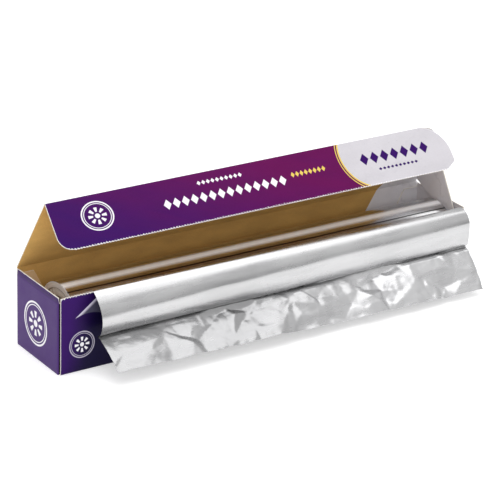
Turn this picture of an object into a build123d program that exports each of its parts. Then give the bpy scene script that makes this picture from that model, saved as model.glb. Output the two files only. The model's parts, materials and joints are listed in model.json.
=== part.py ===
"""A carton of catering foil: an open board box with a hinged lid and front flap, holding a wound roll
of aluminium foil on a paper tube, with its free end drawn out over the front edge.

Millimetres. X runs along the carton, the front wall faces -Y, +Z is up, and the origin is the middle of
the base where it meets the table. The carton is folded from one board blank, so the tray is one solid,
and the lid and flap are separate only because the board hinges at their creases.
"""
from build123d import *
from math import acos, atan2, cos, hypot, radians, sin
import os

# Board
BOARD = 0.7
FOLD_GAP = 0.15

# Roll: it sets the carton's size
ROLL_LENGTH = 290.0
ROLL_DIAMETER = 47.6
FOIL_BUILD = 4.3
CORE_WALL = 5.0
CORE_CLEARANCE = 0.05
CORE_RECESS = 0.5

# Room round the roll inside the tray
ROLL_LEFT_GAP = 14.6
ROLL_RIGHT_GAP = 3.0
ROLL_SIDE_GAP = 1.8
ROLL_TOP_ROOM = 3.0
ROLL_FLOOR_CLEARANCE = 0.2

# Tray
CORNER_OPENING = 0.9
END_STRIP = 3.2
END_LEAN = 0.5
CREASE_WIDTH = 0.5
CREASE_DEPTH = 0.15
GLUE_TAB_WIDTH = 19.0
GLUE_TAB_TOP_WIDTH = 12.0
GLUE_TAB_SLANT = 14.0

# Tear teeth on the front wall and on the flap
TOOTH_PITCH = 2.0
TOOTH_DEPTH = 0.5
TOOTH_END_MARGIN = 3.0

# Lid
LID_CLEARANCE = 0.35
LID_OPEN_ANGLE = 64.0
LID_LEFT_TAPER = 6.4
LID_RIGHT_CORNER = 16.3
LID_CORNER_RUN = 13.0
LID_SIDE_CLEARANCE = 0.3

# Dust tab that hangs from the lid's right-hand end
DUST_TAB_FLOOR_GAP = 8.5
DUST_TAB_ROOT_SETBACK = 0.35
DUST_TAB_TAPER = 27.4
DUST_TAB_BACK_CLEARANCE = 3.0
DUST_TAB_BACK_TAPER = 3.0
DUST_TAB_CORNER = 4.0
DUST_TAB_SIDE_CLEARANCE = 0.5

# Flap
FLAP_LENGTH = 31.8
FLAP_TILT = 42.0
FLAP_CORNER = 9.0
FLAP_RIGHT_REACH = 15.2
FLAP_RIGHT_CURVE = 20.0
FLAP_TIP_CUT_LENGTH = 5.2
FLAP_TIP_CUT_WIDTH = 7.4

# Drawn-out end of the foil
SHEET_THICKNESS = 0.3
SHEET_CLEARANCE = 0.35
SHEET_LEFT_INSET = 8.5
PATH_RADII = [0.9, 4.0, 9.0, 6.0, 0.6]
BULGE_SHOULDER = 4.0
BULGE_REACH = 11.3
BULGE_TOP_DROP = 9.0
BULGE_BOTTOM_DROP = 20.0
CREASE_REACH = 6.8
CREASE_DROP = 27.0
SHEET_REACH = 31.2
SHEET_FOOT = 8.0

# Derived sizes and places
TRAY_LENGTH = ROLL_LENGTH + ROLL_LEFT_GAP + ROLL_RIGHT_GAP + 2 * BOARD
TRAY_DEPTH = ROLL_DIAMETER + 2 * ROLL_SIDE_GAP + 4 * BOARD
WALL_HEIGHT = BOARD + ROLL_FLOOR_CLEARANCE + ROLL_DIAMETER + ROLL_TOP_ROOM
LEFT = -TRAY_LENGTH / 2
RIGHT = TRAY_LENGTH / 2
FRONT = -TRAY_DEPTH / 2
BACK = TRAY_DEPTH / 2
HINGE_Y = BACK - BOARD / 2
HINGE_Z = WALL_HEIGHT + LID_CLEARANCE + BOARD / 2
HINGE_SETBACK = BOARD / 2 + FOLD_GAP
LID_LENGTH = TRAY_DEPTH + LID_CLEARANCE
LID_LEFT = LEFT + LID_SIDE_CLEARANCE
LID_RIGHT = RIGHT - END_LEAN - BOARD - DUST_TAB_SIDE_CLEARANCE
DUST_TAB_DEPTH = WALL_HEIGHT - DUST_TAB_FLOOR_GAP
DUST_TAB_ROOT = LID_LENGTH - LID_CORNER_RUN - DUST_TAB_ROOT_SETBACK
DUST_TAB_TIP = DUST_TAB_ROOT - DUST_TAB_TAPER
FOLD_LEFT = LID_LEFT + LID_LEFT_TAPER
FOLD_RIGHT = LID_RIGHT - LID_RIGHT_CORNER
LID_COS = cos(radians(LID_OPEN_ANGLE))
LID_SIN = sin(radians(LID_OPEN_ANGLE))
FOLD_Y = HINGE_Y - LID_LENGTH * LID_COS - BOARD / 2 * LID_SIN
FOLD_Z = HINGE_Z + LID_LENGTH * LID_SIN - BOARD / 2 * LID_COS
ROLL_RADIUS = ROLL_DIAMETER / 2
ROLL_RIGHT = RIGHT - ROLL_RIGHT_GAP - BOARD
ROLL_LEFT = LEFT + BOARD + ROLL_LEFT_GAP
ROLL_Z = BOARD + ROLL_FLOOR_CLEARANCE + ROLL_RADIUS
FOIL_INNER_RADIUS = ROLL_RADIUS - FOIL_BUILD
CORE_RADIUS = FOIL_INNER_RADIUS - CORE_CLEARANCE


def panel(x0, x1, y0, y1, z0, z1):
    """A flat board panel between two corners."""
    size = (x1 - x0, y1 - y0, z1 - z0)
    middle = ((x0 + x1) / 2, (y0 + y1) / 2, (z0 + z1) / 2)
    return Pos(*middle) * Box(*size)


def toothed_edge(start, end, level, depth):
    """Points of a saw edge from start to end, with its tips on level and its roots at level - depth."""
    count = int(abs(end - start) / TOOTH_PITCH)
    step = (end - start) / count
    points = []
    for tooth in range(count):
        points.append((start + tooth * step, level - depth))
        points.append((start + (tooth + 0.5) * step, level))
    points.append((end, level - depth))
    return points


# Tray ------------------------------------------------------------------------------------------------
def front_wall():
    """The front wall, whose top edge is cut into small teeth."""
    left = LEFT + BOARD + CORNER_OPENING
    right = RIGHT - BOARD - CORNER_OPENING
    teeth = toothed_edge(right - TOOTH_END_MARGIN, left + TOOTH_END_MARGIN, WALL_HEIGHT, TOOTH_DEPTH)
    low_top = WALL_HEIGHT - TOOTH_DEPTH
    outline = [(left, 0), (right, 0), (right, low_top), *teeth, (left, low_top)]
    face = Plane.XZ * make_face(Polyline(outline, close=True))
    return Pos(0, FRONT + BOARD, 0) * extrude(face, BOARD)


def end_wall():
    """The left end wall: its top strip leans in above a pressed crease."""
    crease = WALL_HEIGHT - END_STRIP
    half = CREASE_WIDTH / 2
    outline = [
        (0, 0),
        (0, crease - half),
        (CREASE_DEPTH, crease),
        (CREASE_DEPTH, crease + half),
        (END_LEAN, WALL_HEIGHT),
        (END_LEAN + BOARD, WALL_HEIGHT),
        (BOARD, crease),
        (BOARD, 0),
    ]
    face = Plane.XZ * make_face(Polyline(outline, close=True))
    return Pos(LEFT, BACK, 0) * extrude(face, TRAY_DEPTH)


def glue_tab(inner_face, side):
    """A tab folded from the left end wall and glued inside the front (side 1) or back (side -1) wall."""
    top = WALL_HEIGHT - END_STRIP
    outline = [
        (0, 0),
        (GLUE_TAB_WIDTH, 0),
        (GLUE_TAB_WIDTH, top - GLUE_TAB_SLANT),
        (GLUE_TAB_TOP_WIDTH, top),
        (0, top),
    ]
    face = Plane.XZ * make_face(Polyline(outline, close=True))
    tab = extrude(face, BOARD)
    return Pos(LEFT, inner_face + (BOARD if side > 0 else 0), 0) * tab


def tray():
    """Base, walls and glued corner tabs: one folded board."""
    base = panel(LEFT, RIGHT, FRONT, BACK, 0, BOARD)
    back_top = HINGE_Z - HINGE_SETBACK
    back = panel(LEFT + BOARD, RIGHT - BOARD, BACK - BOARD, BACK, 0, back_top)
    left_end = end_wall() + glue_tab(FRONT + BOARD, 1) + glue_tab(BACK - BOARD, -1)
    right_end = left_end.mirror(Plane.YZ)
    return base + back + front_wall() + left_end + right_end


# Lid and flap: each is drawn flat with its hinge along X, then turned to where it stands ----------------
def lid_outline():
    """The lid from its hinge crease (0) to its fold (LID_LENGTH), tapered left and rounded right."""
    fold = LID_LENGTH - FOLD_GAP
    hinge_edge = Line((LID_RIGHT, HINGE_SETBACK), (LID_LEFT, HINGE_SETBACK))
    left_edge = Polyline((LID_LEFT, HINGE_SETBACK), (FOLD_LEFT, fold), (FOLD_RIGHT, fold))
    corner_start = (LID_RIGHT, LID_LENGTH - LID_CORNER_RUN)
    corner = TangentArc((FOLD_RIGHT, fold), corner_start, tangent=(1, 0))
    right_edge = Line(corner_start, (LID_RIGHT, HINGE_SETBACK))
    return make_face([hinge_edge, left_edge, corner, right_edge])


def dust_tab():
    """The tab on the lid's right end, drawn as distance from the hinge against depth below the lid."""
    outline = [
        (DUST_TAB_BACK_CLEARANCE, 0),
        (DUST_TAB_ROOT, 0),
        (DUST_TAB_TIP, DUST_TAB_DEPTH),
        (DUST_TAB_BACK_CLEARANCE + DUST_TAB_BACK_TAPER, DUST_TAB_DEPTH),
    ]
    flat = make_face(Polyline(outline, close=True))
    lower_corners = flat.vertices().sort_by(Axis.Y)[-2:]
    flat = fillet(lower_corners, DUST_TAB_CORNER)
    hanging = Plane(origin=(LID_RIGHT, 0, 0), x_dir=(0, 1, 0), z_dir=(-1, 0, 0))
    return extrude(hanging * flat, BOARD)


def lid():
    """The lid with its dust tab: flat along +Y, then turned about the hinge to its open angle."""
    board = extrude(lid_outline(), BOARD / 2, both=True)
    closed = (board + dust_tab()).mirror(Plane.XZ)
    return Pos(0, HINGE_Y, HINGE_Z) * Rot(-LID_OPEN_ANGLE, 0, 0) * closed


def flap_outline():
    """The flap from its fold (0) down: round corner left, toothed edge, curved and pointed right end."""
    tip_x = FOLD_RIGHT + FLAP_RIGHT_REACH
    straight_end = tip_x - FLAP_TIP_CUT_WIDTH
    low = FLAP_LENGTH - TOOTH_DEPTH
    teeth_left = FOLD_LEFT + FLAP_CORNER
    teeth = toothed_edge(teeth_left, straight_end, FLAP_LENGTH, TOOTH_DEPTH)
    fold_edge = Line((FOLD_RIGHT, FOLD_GAP), (FOLD_LEFT, FOLD_GAP))
    left_edge = Line((FOLD_LEFT, FOLD_GAP), (FOLD_LEFT, low - FLAP_CORNER))
    round_corner = TangentArc((FOLD_LEFT, low - FLAP_CORNER), (teeth_left, low), tangent=(0, 1))
    lower_edge = Polyline(teeth)
    tip = (tip_x, FLAP_LENGTH - FLAP_TIP_CUT_LENGTH)
    tip_edge = Polyline((straight_end, low), tip, (tip_x, FLAP_RIGHT_CURVE))
    curve = TangentArc((tip_x, FLAP_RIGHT_CURVE), (FOLD_RIGHT, FOLD_GAP), tangent=(0, -1))
    return make_face([fold_edge, left_edge, round_corner, lower_edge, tip_edge, curve])


def flap():
    """The flap, hung from the lid's fold and tilted forward. Its inner face holds the fold's axis."""
    board = extrude(flap_outline(), -BOARD)
    hanging = Rot(-90, 0, 0) * board
    return Pos(0, FOLD_Y, FOLD_Z) * Rot(-FLAP_TILT, 0, 0) * hanging


# Roll ------------------------------------------------------------------------------------------------
def tube(outer, inner, x0, x1, z):
    """A tube along X."""
    ring = Circle(outer) - Circle(inner)
    across = Plane(origin=(x0, 0, z), x_dir=(0, 1, 0), z_dir=(1, 0, 0))
    return extrude(across * ring, x1 - x0)


def sheet_path():
    """The drawn-out end's middle line in Y and Z: up from the roll, over the rim, out, and down."""
    rim_y = FRONT + 2 * BOARD + SHEET_CLEARANCE + SHEET_THICKNESS / 2
    rim_z = WALL_HEIGHT + SHEET_CLEARANCE + SHEET_THICKNESS / 2
    layer = ROLL_RADIUS - SHEET_THICKNESS / 2
    away = hypot(rim_y, rim_z - ROLL_Z)
    leave = atan2(rim_z - ROLL_Z, rim_y) + acos(layer / away)
    start = (layer * cos(leave), ROLL_Z + layer * sin(leave))
    points = [
        start,
        (rim_y, rim_z),
        (FRONT - BULGE_SHOULDER, rim_z - SHEET_CLEARANCE * 2),
        (FRONT - BULGE_REACH, WALL_HEIGHT - BULGE_TOP_DROP),
        (FRONT - BULGE_REACH, WALL_HEIGHT - BULGE_BOTTOM_DROP),
        (FRONT - CREASE_REACH, WALL_HEIGHT - CREASE_DROP),
        (FRONT - SHEET_REACH, SHEET_FOOT),
    ]
    return FilletPolyline(*points, radius=PATH_RADII)


def foil_roll():
    """All turns of the foil and its drawn-out end, which is the same strip: one solid."""
    turns = tube(ROLL_RADIUS, FOIL_INNER_RADIUS, ROLL_LEFT, ROLL_RIGHT, ROLL_Z)
    ribbon = make_face(sheet_path().wire().offset_2d(SHEET_THICKNESS / 2, side=Side.BOTH))
    across = Plane(origin=(ROLL_LEFT + SHEET_LEFT_INSET, 0, 0), x_dir=(0, 1, 0), z_dir=(1, 0, 0))
    sheet = extrude(across * ribbon, ROLL_LENGTH - SHEET_LEFT_INSET)
    return turns + sheet


def core_tube():
    """The paper tube inside the foil."""
    inner = CORE_RADIUS - CORE_WALL
    return tube(CORE_RADIUS, inner, ROLL_LEFT + CORE_RECESS, ROLL_RIGHT - CORE_RECESS, ROLL_Z)


os.makedirs("parts", exist_ok=True)
pieces = {
    "carton_tray": tray(),
    "lid_panel": lid(),
    "lid_flap": flap(),
    "foil_roll": foil_roll(),
    "core_tube": core_tube(),
}
for name, shape in pieces.items():
    export_step(shape, f"parts/{name}.step")
print("lid hinge at Y, Z:", HINGE_Y, HINGE_Z)
print("flap fold at Y, Z:", FOLD_Y, FOLD_Z)
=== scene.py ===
"""A carton of catering foil with its lid up, the foil drawn out over the front wall.

Run as a script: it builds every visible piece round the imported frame, then the stage.
Shapes are worked out in millimetres and written to meshes in metres. X runs along the carton,
the front wall faces -Y and +Z is up.
"""

import json
import math
from types import SimpleNamespace

import bmesh
import bpy
import numpy as np
from bpy.props import FloatProperty, FloatVectorProperty, PointerProperty
from mathutils import Matrix, Vector, noise
from mathutils.geometry import delaunay_2d_cdt


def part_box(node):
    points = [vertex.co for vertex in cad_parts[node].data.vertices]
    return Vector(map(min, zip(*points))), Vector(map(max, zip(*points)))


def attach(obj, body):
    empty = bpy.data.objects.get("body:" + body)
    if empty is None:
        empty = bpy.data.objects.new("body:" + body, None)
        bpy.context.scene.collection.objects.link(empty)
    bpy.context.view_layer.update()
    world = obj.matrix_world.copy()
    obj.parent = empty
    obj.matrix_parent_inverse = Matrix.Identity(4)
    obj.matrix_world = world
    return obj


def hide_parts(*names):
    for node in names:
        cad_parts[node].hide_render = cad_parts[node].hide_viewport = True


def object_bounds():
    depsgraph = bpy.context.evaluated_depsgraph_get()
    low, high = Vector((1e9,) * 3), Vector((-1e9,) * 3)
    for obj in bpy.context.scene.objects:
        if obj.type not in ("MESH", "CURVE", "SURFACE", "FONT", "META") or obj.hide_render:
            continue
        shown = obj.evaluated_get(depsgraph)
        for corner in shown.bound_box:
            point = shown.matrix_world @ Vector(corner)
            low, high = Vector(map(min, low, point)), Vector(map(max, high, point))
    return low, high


bl_info = {
    "name": "Foil carton",
    "version": (1, 0, 0),
    "blender": (4, 5, 0),
    "location": "View3D > Sidebar > Foil carton",
    "description": "Builds a folded board carton, its wound foil and the drawn-out sheet",
    "category": "Add Mesh",
}

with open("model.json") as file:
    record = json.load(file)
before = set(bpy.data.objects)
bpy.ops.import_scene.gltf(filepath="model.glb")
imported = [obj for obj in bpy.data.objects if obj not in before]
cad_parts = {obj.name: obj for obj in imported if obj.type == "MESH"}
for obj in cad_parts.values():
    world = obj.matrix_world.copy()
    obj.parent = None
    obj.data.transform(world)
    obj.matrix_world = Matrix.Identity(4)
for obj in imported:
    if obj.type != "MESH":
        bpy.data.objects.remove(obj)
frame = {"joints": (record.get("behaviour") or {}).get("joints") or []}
CAD_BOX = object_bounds()

MM = 0.001


def in_mm(corners):
    """A box's two corners in millimetres."""
    return [corner / MM for corner in corners]


TRAY_LOW, TRAY_HIGH = in_mm(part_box("carton_tray"))
LID_LOW, LID_HIGH = in_mm(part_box("lid_panel"))
FLAP_LOW, FLAP_HIGH = in_mm(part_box("lid_flap"))
ROLL_LOW, ROLL_HIGH = in_mm(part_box("foil_roll"))
CORE_LOW, CORE_HIGH = in_mm(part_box("core_tube"))
AXES = {joint["name"]: Vector(joint["pos_m"]) / MM for joint in frame["joints"]}
HINGE = AXES["lid_hinge"]
FOLD = AXES["flap_fold"]

# Carton, in millimetres
BOARD = 2 * (TRAY_HIGH.y - HINGE.y)
LEFT, RIGHT = TRAY_LOW.x, TRAY_HIGH.x
FRONT, BACK = TRAY_LOW.y, TRAY_HIGH.y
WALL_HEIGHT = HINGE.z - BOARD
CORNER_OPENING = 0.9
END_STRIP = 3.2
END_LEAN = 0.5
TAB_WIDTH = 19.0
TAB_TOP_WIDTH = 12.0
TAB_SLANT = 14.0
TOOTH_MARGIN = 3.0
LID_TURN = math.radians(64.0)
FLAP_TILT = math.radians(42.0)
LID_LENGTH = 54.35
LID_CORNER_RUN = 13.0
FOLD_LEFT = FLAP_LOW.x
FLAP_OVERHANG = 15.2
FOLD_RIGHT = FLAP_HIGH.x - FLAP_OVERHANG
FLAP_LENGTH = 31.8
FLAP_CORNER = 9.0
FLAP_CURVE_END = 20.0
FLAP_TIP_LENGTH = 5.2
FLAP_TIP_WIDTH = 7.4
DUST_TAB_NEAR = 3.0
DUST_TAB_FAR = 41.0
DUST_TAB_DEPTH = 43.0

# The unfolded board: the level where each row of tear teeth starts, and where the end walls'
# plain sides lie, clear of the rest
FRONT_TEETH, FLAP_TEETH = 49.2, 29.5
END_PLAIN_LEVEL = -300.0
END_PLAIN_LEFT, END_PLAIN_RIGHT = 60.0, 400.0

# Roll, in millimetres
ROLL_RADIUS = 23.8
FOIL_INNER = 19.5
CORE_OUTER = (CORE_HIGH.z - CORE_LOW.z) / 2
CORE_WALL = 5.0
ROLL_Z = (CORE_HIGH.z + CORE_LOW.z) / 2
ROLL_LEFT, ROLL_RIGHT = ROLL_LOW.x, ROLL_HIGH.x
SHEET_INSET = 8.5
SHEET_LEFT = ROLL_LEFT + SHEET_INSET

# How far along the drawn-out sheet it comes loose of the front wall, and over what length
LOOSE_FROM, LOOSE_OVER = 34.0, 14.0

# The sheet's section as (Y, Z), at its left and right edges: up from the roll, over the front wall,
# out in a soft bulge and in to the crease, then down and forward to its cut edge
BULGE_LEFT = [
    (-23.7, 23.5), (-24.4, 38.0), (-24.95, 49.8), (-26.0, 51.95), (-28.2, 51.3), (-31.2, 49.0),
    (-35.6, 44.6), (-38.4, 39.3), (-38.9, 33.5), (-37.6, 28.2), (-35.6, 25.4), (-33.2, 24.4),
]
BULGE_RIGHT = [
    (-23.7, 23.5), (-24.4, 38.0), (-24.95, 49.8), (-26.0, 52.0), (-28.6, 52.0), (-31.3, 51.1),
    (-34.4, 48.7), (-36.9, 44.6), (-37.4, 37.8), (-37.0, 31.6), (-36.0, 28.4), (-34.0, 27.0),
]
SKIRT_LEFT = [(-33.2, 24.4), (-35.0, 23.3), (-42.6, 19.6), (-50.8, 15.2), (-58.4, 10.4)]
SKIRT_RIGHT = [(-34.0, 27.0), (-36.0, 25.2), (-42.0, 19.6), (-49.5, 12.3), (-56.8, 4.8)]


def srgb(red, green, blue):
    """A colour given as 0 to 255 display values, as the linear values that Blender works in."""
    shares = [channel / 255 for channel in (red, green, blue)]
    return tuple(s / 12.92 if s <= 0.04045 else ((s + 0.055) / 1.055) ** 2.4 for s in shares)


# ---- settings
def length_property(name, description, size, least=None):
    """A length, in millimetres, that a user can change."""
    lowest = {} if least is None else {"min": least * MM}
    return FloatProperty(
        name=name, description=description, default=size * MM, unit="LENGTH", **lowest
    )


class BoardForm(bpy.types.PropertyGroup):
    """How the carton's board is cut and folded."""

    tooth_pitch: length_property("Tooth pitch", "Distance between the tear teeth", 2.0, 0.5)
    tooth_depth: length_property("Tooth depth", "Depth of the tear teeth", 0.5, 0.1)
    fold_radius: length_property("Fold radius", "Outer radius of the tray's folds", 1.1, 0.8)


class FoilForm(bpy.types.PropertyGroup):
    """How the foil lies."""

    thickness: length_property("Sheet thickness", "Drawn-out sheet's thickness", 0.06, 0.02)
    wave: length_property("Bulge wave", "Depth of the soft waves along the bulge", 0.55)
    crinkle: length_property("Crinkle depth", "Depth of the creased facets below the fold", 1.0)
    facet: length_property("Facet size", "Size of the creased facets", 8.0, 2.0)


def colour_property(name, description, colour):
    """A colour that a user can change."""
    return FloatVectorProperty(
        name=name, description=description, default=colour, subtype="COLOR", size=3, min=0, max=1
    )


class PrintColours(bpy.types.PropertyGroup):
    """Inks and bare board."""

    violet: colour_property("Violet", "Flap's left-hand ink", srgb(50, 8, 92))
    magenta: colour_property("Magenta", "Flap's right-hand ink", srgb(96, 8, 78))
    navy: colour_property("Navy", "Front wall's dark ink", srgb(14, 10, 44))
    lilac: colour_property("Lilac", "End wall's ink", srgb(72, 42, 108))
    pale: colour_property("Pale field", "Marbled field", srgb(203, 200, 205))
    gold: colour_property("Gold", "Double line and small bars", srgb(224, 196, 96))
    white: colour_property("White", "Badges and marks", srgb(238, 236, 240))
    kraft: colour_property("Kraft", "Bare inside of the board", srgb(204, 162, 94))
    paper: colour_property("Cut edge", "Raw cut edges", srgb(226, 220, 208))


class StageForm(bpy.types.PropertyGroup):
    """Floor and light."""

    floor: colour_property("Floor", "Floor colour", (0.8, 0.8, 0.8))
    overhead: FloatProperty(
        name="Overhead light", description="Power of the overhead panel", default=9.0, unit="POWER"
    )
    front: FloatProperty(
        name="Front light", description="Power of the front-left panel", default=3.6, unit="POWER"
    )
    sky: FloatProperty(name="Room light", description="Strength of the room's light", default=0.85)


# ---- node networks
class Network:
    """Adds nodes to one node tree, a call for each node, and links them."""

    def __init__(self, tree):
        self.tree = tree

    def node(self, kind, *values, **settings):
        """A node with its first inputs fed in order."""
        made = self.tree.nodes.new(kind)
        for name, value in settings.items():
            setattr(made, name, value)
        for socket, value in zip(made.inputs, values):
            self.feed(socket, value)
        return made

    def feed(self, socket, value):
        """Links or sets one input. None leaves it alone."""
        if value is None:
            return
        if isinstance(value, bpy.types.NodeSocket):
            self.tree.links.new(value, socket)
        elif hasattr(value, "__len__") and len(socket.default_value) == 4 and len(value) == 3:
            socket.default_value = (*value, 1)
        else:
            socket.default_value = value

    def maths(self, operation, *values):
        return self.node("ShaderNodeMath", *values, operation=operation).outputs[0]

    def add(self, *values):
        return self.maths("ADD", *values)

    def take(self, *values):
        return self.maths("SUBTRACT", *values)

    def times(self, *values):
        return self.maths("MULTIPLY", *values)

    def ramp(self, value, start, end, low=0.0, high=1.0):
        """A smooth step of value from start to end."""
        node = self.node(
            "ShaderNodeMapRange", value, start, end, low, high, interpolation_type="SMOOTHSTEP"
        )
        return node.outputs[0]

    def within(self, value, reach, blur):
        """1 where the value's size is under reach, 0 beyond."""
        return self.ramp(self.maths("ABSOLUTE", value), self.add(reach, blur), reach)

    def mix(self, share, first, second, blend="MIX"):
        """A colour between two."""
        node = self.node("ShaderNodeMix", data_type="RGBA", blend_type=blend)
        self.feed(node.inputs[0], share)
        self.feed(node.inputs[6], first)
        self.feed(node.inputs[7], second)
        return node.outputs[2]

    def shaded(self, colour, shade):
        """A colour times a shade."""
        return self.mix(1.0, colour, shade, "MULTIPLY")

    def vector(self, x, y, z=0.0):
        return self.node("ShaderNodeCombineXYZ", x, y, z).outputs[0]

    def grey(self, tone):
        return self.vector(tone, tone, tone)

    def length(self, x, y):
        """How long a flat step is."""
        return self.maths("SQRT", self.add(self.times(x, x), self.times(y, y)))

    def split(self, place):
        return self.node("ShaderNodeSeparateXYZ", place).outputs

    def scaled(self, place, factors):
        node = self.node("ShaderNodeVectorMath", place, factors, operation="MULTIPLY")
        return node.outputs[0]

    def cloud(self, place, scale, detail=2.0, rough=0.5):
        """Noise from 0 to 1."""
        node = self.node("ShaderNodeTexNoise", place)
        self.feed(node.inputs["Scale"], scale)
        self.feed(node.inputs["Detail"], detail)
        self.feed(node.inputs["Roughness"], rough)
        return node.outputs[0]

    def group(self, name, **values):
        """A copy of a shared effect, fed by input name, with its outputs."""
        node = self.node("ShaderNodeGroup")
        node.node_tree = bpy.data.node_groups[name]
        for key, value in values.items():
            self.feed(node.inputs[key.replace("_", " ").capitalize()], value)
        return node.outputs

    def flat(self):
        """Place on the unfolded board, in millimetres."""
        return self.node("ShaderNodeUVMap", uv_map="flat").outputs[0]

    def rim(self):
        """Distance from the nearest cut edge, in millimetres."""
        return self.split(self.node("ShaderNodeUVMap", uv_map="rim").outputs[0])[0]

    def here(self):
        """Place in the piece's own space, in millimetres."""
        own = self.node("ShaderNodeTexCoord").outputs["Object"]
        return self.scaled(own, (1 / MM,) * 3)

    def round_roll(self):
        """Way from the roll's axis as (forward, up), in millimetres."""
        _, y, z = self.split(self.here())
        return self.times(y, -1.0), self.take(z, ROLL_Z)


SOCKETS = {"place": "NodeSocketVector", "colour": "NodeSocketColor", "value": "NodeSocketFloat"}


def new_effect(name, inputs, outputs):
    """An empty shared effect: its network, its inputs by name, and its output node."""
    tree = bpy.data.node_groups.new(name, "ShaderNodeTree")
    for label, kind, default in inputs:
        socket = tree.interface.new_socket(label, in_out="INPUT", socket_type=SOCKETS[kind])
        if default is not None:
            socket.default_value = (*default, 1) if kind == "colour" else default
    for label, kind in outputs:
        tree.interface.new_socket(label, in_out="OUTPUT", socket_type=SOCKETS[kind])
    network = Network(tree)
    entry = tree.nodes.new("NodeGroupInput")
    return network, {s.name: s for s in entry.outputs if s.name}, tree.nodes.new("NodeGroupOutput")


def ring_badge_effect():
    """A double ring round a plain eight-petal rosette."""
    inputs = [("Place", "place", None), ("X", "value", 0.0), ("Y", "value", 0.0)]
    outputs = [("Rings", "value"), ("Rosette", "value")]
    net, get, out = new_effect("Ring badge", [*inputs, ("Radius", "value", 10.0)], outputs)
    x, y, _ = net.split(get["Place"])
    across, up = net.take(x, get["X"]), net.take(y, get["Y"])
    distance = net.maths("DIVIDE", net.length(across, up), get["Radius"])
    outer = net.within(net.take(distance, 0.95), 0.032, 0.02)
    inner = net.within(net.take(distance, 0.82), 0.012, 0.02)
    angle = net.maths("ARCTAN2", up, across)
    petals = net.ramp(net.maths("COSINE", net.times(angle, 8.0)), -0.1, 0.25)
    belt = net.within(net.take(distance, 0.42), 0.13, 0.03)
    dot = net.ramp(distance, 0.17, 0.14)
    net.feed(out.inputs["Rings"], net.maths("MAXIMUM", outer, inner))
    net.feed(out.inputs["Rosette"], net.maths("MAXIMUM", net.times(petals, belt), dot))


def mark_row_effect():
    """A row of lozenges between two places along the board."""
    names = [("Start", 0.0), ("End", 100.0), ("Level", 10.0), ("Pitch", 7.0), ("Height", 3.0)]
    inputs = [("Place", "place", None), *((n, "value", d) for n, d in names)]
    net, get, out = new_effect("Mark row", inputs, [("Marks", "value")])
    x, y, _ = net.split(get["Place"])
    along = net.take(x, get["Start"])
    cell = net.take(net.maths("FLOORED_MODULO", along, get["Pitch"]), net.times(get["Pitch"], 0.5))
    side = net.maths("DIVIDE", net.maths("ABSOLUTE", cell), net.times(get["Pitch"], 0.42))
    rise = net.maths("ABSOLUTE", net.take(y, get["Level"]))
    shape = net.add(side, net.maths("DIVIDE", rise, get["Height"]))
    lozenge = net.ramp(shape, 1.06, 0.94)
    past_start = net.maths("GREATER_THAN", x, get["Start"])
    before_end = net.maths("LESS_THAN", x, get["End"])
    net.feed(out.inputs["Marks"], net.times(lozenge, net.times(past_start, before_end)))


def ink_effect():
    """Ink that drifts from one colour to another along the board, with a soft cloudiness."""
    inputs = [
        ("Place", "place", None), ("First", "colour", (0.1, 0.0, 0.1)),
        ("Second", "colour", (0.2, 0.0, 0.1)), ("Start", "value", 0.0), ("End", "value", 200.0),
    ]
    net, get, out = new_effect("Ink", inputs, [("Colour", "colour")])
    x, _, _ = net.split(get["Place"])
    drift = net.ramp(x, get["Start"], get["End"])
    cloudy = net.cloud(get["Place"], 0.035, 3.0)
    share = net.add(drift, net.times(net.take(cloudy, 0.5), 0.5))
    share = net.maths("MINIMUM", net.maths("MAXIMUM", share, 0.0), 1.0)
    colour = net.mix(share, get["First"], get["Second"])
    tone = net.ramp(net.cloud(get["Place"], 2.4, 2.0), 0.2, 0.8, 0.9, 1.08)
    net.feed(out.inputs["Colour"], net.shaded(colour, net.grey(tone)))


def marble_effect():
    """A pale field with soft grey veins."""
    inputs = [
        ("Place", "place", None), ("Light", "colour", (0.8,) * 3), ("Vein", "colour", (0.5,) * 3),
    ]
    net, get, out = new_effect("Marble", inputs, [("Colour", "colour")])
    bend = net.cloud(get["Place"], 0.06, 4.0, 0.6)
    x, y, _ = net.split(get["Place"])
    sway = net.add(net.add(net.times(x, 0.045), net.times(y, 0.09)), net.times(bend, 5.0))
    line = net.maths("ABSOLUTE", net.maths("SINE", sway))
    vein = net.times(net.ramp(line, 0.3, 0.0), 0.2)
    mist = net.times(net.cloud(get["Place"], 0.11, 4.0), 0.35)
    net.feed(out.inputs["Colour"], net.mix(net.add(vein, mist), get["Light"], get["Vein"]))


def scuff_effect():
    """Where the print has rubbed off beside a cut edge, down to the white board."""
    inputs = [("Place", "place", None), ("Rim", "value", 9.0), ("Reach", "value", 0.5)]
    net, get, out = new_effect("Scuffs", inputs, [("Rubbed", "value")])
    ragged = net.cloud(get["Place"], 1.3, 4.0, 0.65)
    worn = net.times(get["Reach"], net.ramp(ragged, 0.3, 0.75, 0.15, 1.6))
    edge = net.ramp(net.take(get["Rim"], worn), 0.12, 0.0)
    flecks = net.ramp(net.cloud(get["Place"], 3.1, 2.0), 0.76, 0.8)
    near = net.ramp(get["Rim"], 3.0, 0.5)
    net.feed(out.inputs["Rubbed"], net.maths("MAXIMUM", edge, net.times(flecks, near)))


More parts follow.
